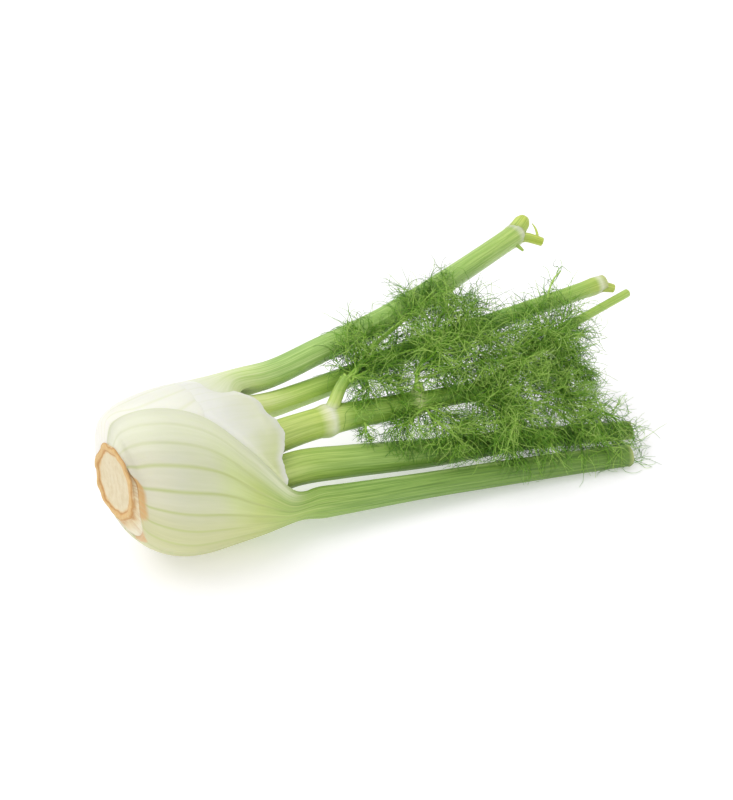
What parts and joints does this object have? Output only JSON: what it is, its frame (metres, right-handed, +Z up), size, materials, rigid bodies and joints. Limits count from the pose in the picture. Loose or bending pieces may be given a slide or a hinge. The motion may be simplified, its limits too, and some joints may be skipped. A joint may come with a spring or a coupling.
{
  "type": "fennel bulb",
  "caption": "Florence fennel bulb lying on its side: pale ribbed overlapping leaf bases, cut root, green cut stalks and feathery fronds.",
  "frame": {"origin": "middle of the small flat spot under the bulb that it rests on", "axes": "+X from the cut root towards the stalks, along the bulb; +Z up as it lies; +Y away from the viewer"},
  "size_m": [0.3253, 0.1408, 0.0923],
  "materials": {
    "root_cut": "dry, rough cut root, browned at the rim",
    "outer_leaf": "waxy, satin ivory skin turning green along the stalk",
    "inner_stalk": "waxy, satin green skin with fine lengthwise lines",
    "heart_stem": "waxy, satin pale green skin with whitish joints",
    "frond": "matt green threads"
  },
  "bodies": {
    "root": {"root_base": "root_cut", "outer_stalk_lower": "outer_leaf", "outer_stalk_upper": "outer_leaf", "inner_stalk_front": "inner_stalk", "inner_stalk_back": "inner_stalk", "heart_stalk": "heart_stem", "frond_upper": "frond", "frond_crown": "frond", "frond_stem": "frond", "frond_side": "frond", "frond_front": "frond", "frond_rear": "frond", "frond_low": "frond"}
  },
  "joints": []
}
